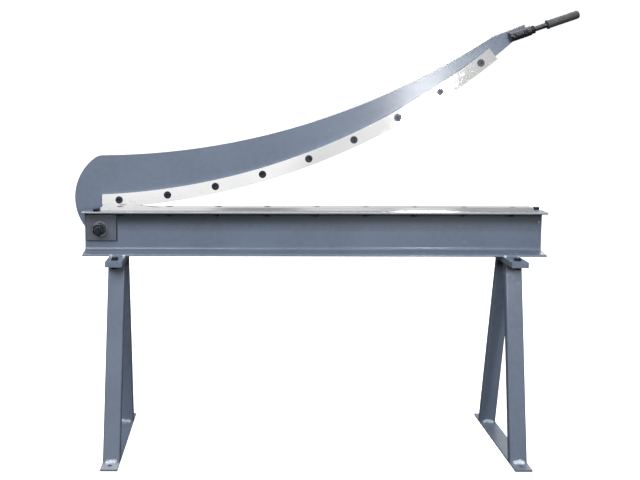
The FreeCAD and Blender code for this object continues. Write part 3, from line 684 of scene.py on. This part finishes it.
def thread_rows(top, bottom, radius, pitch, chamfer):
    """Rows of a thread from a height down to a chamfered tip."""
    count = max(2, int((top - bottom) / pitch * ROWS_PER_TURN))
    heights = np.linspace(top, bottom + chamfer, count)
    rows = [(h, radius, 0, NEVER, 1.0) for h in heights]
    return rows + [(bottom, radius - chamfer, 0, NEVER, 0.0), (bottom, POLE, 0, NEVER, 0.0)]


def plain_rows(*pairs):
    """Round rows without a thread, from pairs of height and radius."""
    return [(height, radius, 0, NEVER, 0) for height, radius in pairs]


def socket_rows(face, key, deep):
    """A hexagon socket sunk in a face, with its rim broken."""
    return [(face - deep, POLE, 0, NEVER, 0), (face - deep, key / 2, 1, NEVER, 0),
            (face - SOCKET_BREAK, key / 2, 1, NEVER, 0), (face, key / 2 + SOCKET_BREAK, 1, NEVER, 0)]


def hex_head_rows(flats, height, shank, plain):
    """Hexagon head above 0 with its corners turned off at the head's angle, then the plain shank."""
    half = flats / 2
    land = HEAD_LAND * half
    slope = math.tan(HEAD_ANGLE)
    drop = (flats / math.sqrt(3) - land) * slope
    rows = plain_rows((height - BREAK, POLE), (height, land - LAND_BREAK), (height, land))
    rows += [(height - k * drop / HEAD_ROWS, half, 1, land + k * drop / HEAD_ROWS / slope, 0)
             for k in range(1, HEAD_ROWS + 1)]
    rows += [(BREAK, half, 1, NEVER, 0), (0.0, half - BREAK, 1, NEVER, 0)]
    return rows + plain_rows((0.0, shank), (-plain, shank))


def countersunk_rows(head, rim, shank, key, deep, plain):
    """Flat head level with 0, a hexagon socket in it, a cone below it and the plain shank."""
    flat = plain_rows((0.0, head - SUNK_BREAK), (-SUNK_BREAK, head), (-rim, head))
    cone = plain_rows((-rim - (head - shank), shank), (-plain, shank))
    return socket_rows(0.0, key, deep) + flat + cone


def cap_rows(head, height, shank, key, deep, plain):
    """Cylindrical head above 0 with a hexagon socket, its rim rounded, and the plain shank."""
    round_off = 1 * MM
    rim = [(height - round_off + round_off * math.cos(a), head - round_off + round_off * math.sin(a))
           for a in np.linspace(0, math.pi / 2, 5)]
    return socket_rows(height, key, deep) + plain_rows(*rim, (0.0, head), (0.0, shank), (-plain, shank))


def placed(points, place, direction):
    """Points made along +Z moved so that they start at a place and run in a direction."""
    turn = Vector((0, 0, 1)).rotation_difference(Vector(direction)).to_matrix()
    return points @ np.array(turn).T + np.array(place)


def node_points(node):
    """The points of a node of the frame, one to a row."""
    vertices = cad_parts[node].data.vertices
    flat = np.zeros(len(vertices) * 3, np.float32)
    vertices.foreach_get("co", flat)
    return flat.reshape(-1, 3).astype(float)


def groups_along(points, axis, gap=20 * MM):
    """Split points wherever they leave a gap along an axis, lowest first."""
    order = np.argsort(points[:, axis])
    jumps = np.nonzero(np.diff(points[order, axis]) > gap)[0] + 1
    return [points[part] for part in np.split(order, jumps)]


def fasteners(name, node, head_rows, above, shank, pitch, thread, direction, material, body, settings):
    """Threaded bolts or screws as one piece that stands for a node of equal ones.

    The node's points tell each one's place and their length: above is how far the head stands over its
    seat, direction the way from the tip to the head, and head_rows gives the rows down to the thread,
    which is as long as thread.
    """
    along = int(np.argmax(np.abs(direction)))
    parts = [node_points(node)]
    for across in (0, 1):
        if across != along:
            parts = [group for part in parts for group in groups_along(part, across)]
    places = []
    for part in parts:
        low, high = part.min(0), part.max(0)
        place = (low + high) / 2
        place[along] = high[along] - above if direction[along] > 0 else low[along] + above
        places.append(place)
        length = high[along] - low[along] - above
    plain = length - thread
    rows = head_rows(plain=plain) + thread_rows(-plain - BREAK, -length, shank / 2, pitch, 1 * MM)
    grid = turned_points(rows, settings.segments, pitch, settings.depth)
    one = grid.reshape(-1, 3)
    points = np.concatenate([placed(one, place, direction) for place in places])
    faces = repeated(one, ring_faces(*grid.shape[:2]), len(places))
    piece = mesh_piece(name, points, faces, material, body, "black_steel")
    normals_outward(piece)
    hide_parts(node)


def dress(nodes, material):
    """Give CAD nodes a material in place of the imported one."""
    for name in nodes:
        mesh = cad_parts[name].data
        if not mesh.materials:
            mesh.materials.append(material)
        for i in range(len(mesh.materials)):
            mesh.materials[i] = material


# Stage

def put_floor(stage, scene):
    """A pale, faintly glowing floor, with painted shade inside the anchor holes."""
    finish = Finish("pale_floor")
    tone = finish.noise(1.5, 2.0)
    colour = finish.mix(tone * 0.25, stage.floor, lighter(stage.floor, 0.98))
    x, y = finish.axis("X"), finish.axis("Y")
    far = ((x * x + y * y) ** 0.5).step(0.9, 3.0)
    low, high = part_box("foot_plate_right")
    side_x = abs(x) - (low.x + high.x) / 2
    side_y = abs(y) - (high.y - ANCHOR_INSET)
    # The floor under each anchor hole is dark: painted shade in the hole.
    clear_of_hole_shade = ((side_x * side_x + side_y * side_y) ** 0.5).step(8 * MM, 10 * MM)
    glow = finish.mix(far, (stage.floor_glow,) * 3, FAR_GLOW)
    glow = finish.mix(clear_of_hole_shade, HOLE_SHADE, glow)
    pale = finish.done(Base_Color=colour, Roughness=0.9, Emission_Color=glow, Emission_Strength=1.0)
    mesh = bpy.data.meshes.new("floor")
    corners = [(a * FLOOR_HALF, b * FLOOR_HALF, 0) for a, b in ((-1, -1), (1, -1), (1, 1), (-1, 1))]
    mesh.from_pydata(corners, [], [(0, 1, 2, 3)])
    mesh.materials.append(pale)
    floor = bpy.data.objects.new("floor", mesh)
    floor.visible_diffuse = False
    floor.visible_glossy = False
    scene.collection.objects.link(floor)


def put_world(stage, scene):
    """The light from all round, by the direction looked in: what the blades and the paint mirror."""
    world = bpy.data.worlds.new("soft_light")
    scene.world = world
    world.use_nodes = True
    finish = Finish.for_world(world)
    x, y, z = (finish.axis(letter) for letter in "XYZ")
    dark_streak = (1 - ((x - 0.02) ** 2 * 300.0).step(0.2, 1.6)) * (1 - z.step(-0.15, -0.13))
    in_front = (y * -1.0).step(0.82, 0.95) * z.step(-0.2, -0.15) * (1 - z.step(0.14, 0.3))
    in_front = in_front * (1 - x.step(0.15, 0.25) * 0.5) * (1 - dark_streak * 0.92)
    patch_height = z.step(-0.16, -0.125) * (1 - z.step(-0.02, 0.05))
    left_patch = x.step(-0.3, -0.22) * (1 - x.step(0.05, 0.11)) * patch_height
    streak_height = (1 - z.step(-0.12, -0.06)) * z.step(-0.2, -0.16)
    right_streak = (1 - ((x - 0.232) ** 2 * 700.0).step(0.2, 1.4)) * streak_height * (1 - y.step(-0.6, -0.4))
    behind = y.step(0.5, 0.85) * z.step(-0.1, 0.02) * (1 - z.step(0.6, 0.9))
    behind = behind * (1 - x.step(-0.1, 0.35) * 0.45)
    light = stage.below + z.step(-0.19, 0.0) * stage.around + in_front * (stage.front - stage.around)
    light = light + behind * (stage.back - stage.around) + left_patch * 0.35 + right_streak * 0.45
    seen = finish.node("ShaderNodeLightPath", output="Is Camera Ray")
    finish.finish_world(light + seen * (stage.backdrop - light))


def put_softbox(scene, name, place, target, width, depth, power):
    """A rectangular light that faces a point and isn't seen itself."""
    light = bpy.data.lights.new(name, "AREA")
    light.shape = "RECTANGLE"
    light.size = width
    light.size_y = depth
    light.energy = power
    lamp = bpy.data.objects.new(name, light)
    lamp.location = place
    lamp.rotation_euler = (Vector(target) - Vector(place)).to_track_quat("-Z", "Y").to_euler()
    lamp.visible_camera = False
    scene.collection.objects.link(lamp)


def put_camera(stage, scene):
    """The camera: turned by yaw, pitch and roll, with its picture shifted off the lens's axis."""
    yaw, pitch, roll = (math.radians(v) for v in CAMERA_TURN)
    ahead = Vector((math.sin(yaw) * math.cos(pitch), math.cos(yaw) * math.cos(pitch), math.sin(pitch)))
    right = Vector((math.cos(yaw), -math.sin(yaw), 0.0))
    up = right.cross(ahead)
    right, up = right * math.cos(roll) + up * math.sin(roll), up * math.cos(roll) - right * math.sin(roll)
    data = bpy.data.cameras.new("camera")
    data.sensor_width = 36.0
    data.lens = stage.lens
    data.shift_x, data.shift_y = CAMERA_SHIFT
    data.clip_end = 100.0
    camera = bpy.data.objects.new("camera", data)
    turned = Matrix((right, up, -ahead)).transposed().to_4x4()
    camera.matrix_world = Matrix.Translation(CAMERA_PLACE) @ turned
    scene.collection.objects.link(camera)
    scene.camera = camera


# Operators

class SHEAR_OT_paint(Operator):
    """Paint the stands, the bed and the arm"""
    bl_idname = "shear.paint"
    bl_label = "Paint stands, bed and arm"

    def execute(self, context):
        paint = context.scene.shear_paint
        bed_shade_heights = [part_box("bed_channel")[1].z - under for under in BED_SHADE_DEPTHS]
        leg_shade_heights = [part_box("front_leg_left")[1].z - under for under in LEG_SHADE_DEPTHS]
        dress(PAINTED, slate_paint(paint, "slate_paint", paint.colour))
        dress(("bed_channel",), slate_paint(paint, "bed_paint", paint.colour, painted_shade_heights=bed_shade_heights, bed=True))
        # The legs darken just under the caps: painted shadow.
        dress(LEGS, slate_paint(paint, "leg_paint", paint.colour, painted_shade_heights=leg_shade_heights))
        # The pivot's plate takes a darker, greyer copy of the slate paint.
        dress(("pivot_plate",), slate_paint(paint, "plate_paint", paint.plate))
        # The foot plates' tops are paled by a painted sheen with dust, more on the left.
        dress(("foot_plate_left",), slate_paint(paint, "dusty_paint", paint.colour, dust_and_sheen=0.45))
        dress(("foot_plate_right",), slate_paint(paint, "faintly_dusty_paint", paint.colour, dust_and_sheen=0.06))
        return {"FINISHED"}


class SHEAR_OT_blades(Operator):
    """Grind the lower and the upper blade"""
    bl_idname = "shear.blades"
    bl_label = "Grind the blades"

    def execute(self, context):
        steel = context.scene.shear_steel
        dress(("lower_blade",), ground_steel(steel, "ground_lower"))
        dress(("upper_blade",), ground_steel(steel, "ground_upper", BLADE_ARC_CENTRE))
        return {"FINISHED"}


class SHEAR_OT_plain_fasteners(Operator):
    """Blacken the nuts, plate the washers and turn the bush"""
    bl_idname = "shear.plain_fasteners"
    bl_label = "Nuts, washers and bush"

    def execute(self, context):
        steel = context.scene.shear_steel
        dress(BLACKENED, black_oxide(steel, "black_oxide", rub_and_highlight_width=0.0006, rub_and_highlight=0.4))
        # The pivot's nut takes a wide bright rim: a painted highlight for light caught on its chamfer.
        dress(("pivot_nut",), black_oxide(steel, "rubbed_oxide", rub_and_highlight_width=0.0018, rub_and_highlight=0.9))
        dress(ZINCED, zinc_plate(steel))
        dress(("pivot_bush",), bush_bronze(steel))
        return {"FINISHED"}


class SHEAR_OT_bolts(Operator):
    """Threaded bolts of the pivot, the lugs, the flange and the arm stop"""
    bl_idname = "shear.bolts"
    bl_label = "Threaded bolts"

    def execute(self, context):
        for name, node, flats, head, shank, pitch, thread, direction, finish in BOLTS:
            rows = partial(hex_head_rows, flats=flats * MM, height=head * MM, shank=shank * MM / 2)
            fasteners(name, node, rows, head * MM, shank * MM, pitch * MM, thread * MM, direction,
                      bpy.data.materials[finish], FIXED, context.scene.shear_threads)
        return {"FINISHED"}


class SHEAR_OT_screws(Operator):
    """Countersunk blade screws and the handle's cap screws, threaded"""
    bl_idname = "shear.screws"
    bl_label = "Threaded screws"

    def execute(self, context):
        sunk = partial(countersunk_rows, head=11.5 * MM, rim=0.6 * MM, shank=6 * MM, key=8 * MM, deep=5 * MM)
        cap = partial(cap_rows, head=6.5 * MM, height=8 * MM, shank=4 * MM, key=6 * MM, deep=5 * MM)
        # Piece, node, head, its height over the seat, shank's diameter, pitch and threaded length in
        # millimetres, direction of the head and body.
        screws = (("lower_screws_threaded", "lower_blade_screws", sunk, 0, 12, 1.75, 18, UP, FIXED),
                  ("upper_screws_threaded", "upper_blade_screws", sunk, 0, 12, 1.75, 20, FRONT, MOVING),
                  ("socket_screws_threaded", "socket_screws", cap, 8, 8, 1.25, 14, FRONT, MOVING))
        for name, node, rows, above, shank, pitch, thread, direction, body in screws:
            fasteners(name, node, rows, above * MM, shank * MM, pitch * MM, thread * MM, direction,
                      bpy.data.materials["black_oxide"], body, context.scene.shear_threads)
        return {"FINISHED"}


class SHEAR_OT_foot_welds(Operator):
    """Rippled weld beads at the feet of the legs"""
    bl_idname = "shear.foot_welds"
    bl_label = "Foot welds"

    def execute(self, context):
        weld = context.scene.shear_welds
        metal = weld_metal(weld, "weld_metal")
        slant = np.array(LEG_SLANT) / math.hypot(*LEG_SLANT[1:])
        for number, side in enumerate(("left", "right")):
            low, high = (np.array(v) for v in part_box("foot_welds_" + side))
            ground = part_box("foot_plate_" + side)[1].z
            depth = LEG_DEPTH / slant[2]
            beads = []
            for turn, facing in enumerate((1.0, -1.0)):
                lean = np.array((0.0, facing * slant[1], slant[2]))
                outer = -LEG_OUTER_FACE * facing
                inner = outer + depth * facing
                for k, (y, away) in enumerate(((outer, FRONT * facing), (inner, BACK * facing))):
                    seed = FIRST_FOOT_SEED + 8 * number + 2 * turn + k
                    start, end = (low[0], y, ground), (high[0], y, ground)
                    beads.append(weld_bead(start, end, away, lean, weld.foot_leg, weld, seed))
            beads_piece("foot_beads_" + side, beads, metal, "weld_steel", "foot_welds_" + side)
        return {"FINISHED"}


class SHEAR_OT_lug_welds(Operator):
    """Rippled weld beads where the lugs meet the bed"""
    bl_idname = "shear.lug_welds"
    bl_label = "Lug welds"

    def execute(self, context):
        weld = context.scene.shear_welds
        metal = weld_metal(weld, "painted_weld", context.scene.shear_paint.colour)
        beads = []
        bed_low, bed_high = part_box("bed_channel")
        for number, side in enumerate(("left", "right")):
            low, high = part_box("lug_front_" + side)
            top = high.z
            for k, (y, away) in enumerate(((bed_low.y, FRONT), (bed_high.y, BACK))):
                seed = FIRST_LUG_SEED + 4 * number + k
                start, end = (low[0], y, top), (high[0], y, top)
                beads.append(weld_bead(start, end, away, UP, LUG_BEAD_REACH, weld, seed))
        beads_piece("lug_beads", beads, metal, "weld_steel", "lug_welds")
        return {"FINISHED"}


class SHEAR_OT_handle(Operator):
    """Finish the handle's socket, rod, lock nut and grip"""
    bl_idname = "shear.handle"
    bl_label = "Handle"

    def execute(self, context):
        steel = context.scene.shear_steel
        dress(("handle_socket", "handle_lock_nut"), handle_steel(steel))
        dress(("handle_rod",), bright_rod(steel))
        dress(("handle_grip",), grip_skin(steel))
        return {"FINISHED"}


class SHEAR_OT_stage(Operator):
    """Pale floor, soft studio light and the camera"""
    bl_idname = "shear.stage"
    bl_label = "Stage"

    def execute(self, context):
        stage = context.scene.shear_stage
        context.scene.view_settings.view_transform = "Standard"
        context.scene.view_settings.look = "None"
        put_floor(stage, context.scene)
        put_world(stage, context.scene)
        for name, (place, target, width, depth) in SOFTBOXES.items():
            put_softbox(context.scene, name + "_softbox", place, target, width, depth, getattr(stage, name))
        put_camera(stage, context.scene)
        return {"FINISHED"}


OPERATORS = (SHEAR_OT_paint, SHEAR_OT_blades, SHEAR_OT_plain_fasteners, SHEAR_OT_bolts, SHEAR_OT_screws,
             SHEAR_OT_foot_welds, SHEAR_OT_lug_welds, SHEAR_OT_handle, SHEAR_OT_stage)
GROUPS = {"shear_paint": PaintSettings, "shear_steel": SteelSettings, "shear_welds": WeldSettings,
          "shear_threads": ThreadSettings, "shear_stage": StageSettings}


class SHEAR_PT_panel(Panel):
    """The shear's finishes and pieces"""
    bl_idname = "SHEAR_PT_panel"
    bl_label = "Guillotine shear"
    bl_space_type = "VIEW_3D"
    bl_region_type = "UI"
    bl_category = "Shear"

    def draw(self, context):
        for operator in OPERATORS:
            self.layout.operator(operator.bl_idname)
        for key, group in GROUPS.items():
            box = self.layout.box()
            for name in group.__annotations__:
                box.prop(getattr(context.scene, key), name)


def register():
    for cls in (*GROUPS.values(), *OPERATORS, SHEAR_PT_panel):
        bpy.utils.register_class(cls)
    for key, group in GROUPS.items():
        setattr(bpy.types.Scene, key, PointerProperty(type=group))


def unregister():
    for key in GROUPS:
        delattr(bpy.types.Scene, key)
    for cls in reversed((*GROUPS.values(), *OPERATORS, SHEAR_PT_panel)):
        bpy.utils.unregister_class(cls)


def main():
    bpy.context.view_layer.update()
    register()
    for operator in OPERATORS:
        group, name = operator.bl_idname.split(".")
        getattr(getattr(bpy.ops, group), name)()


if __name__ == "__main__":
    main()
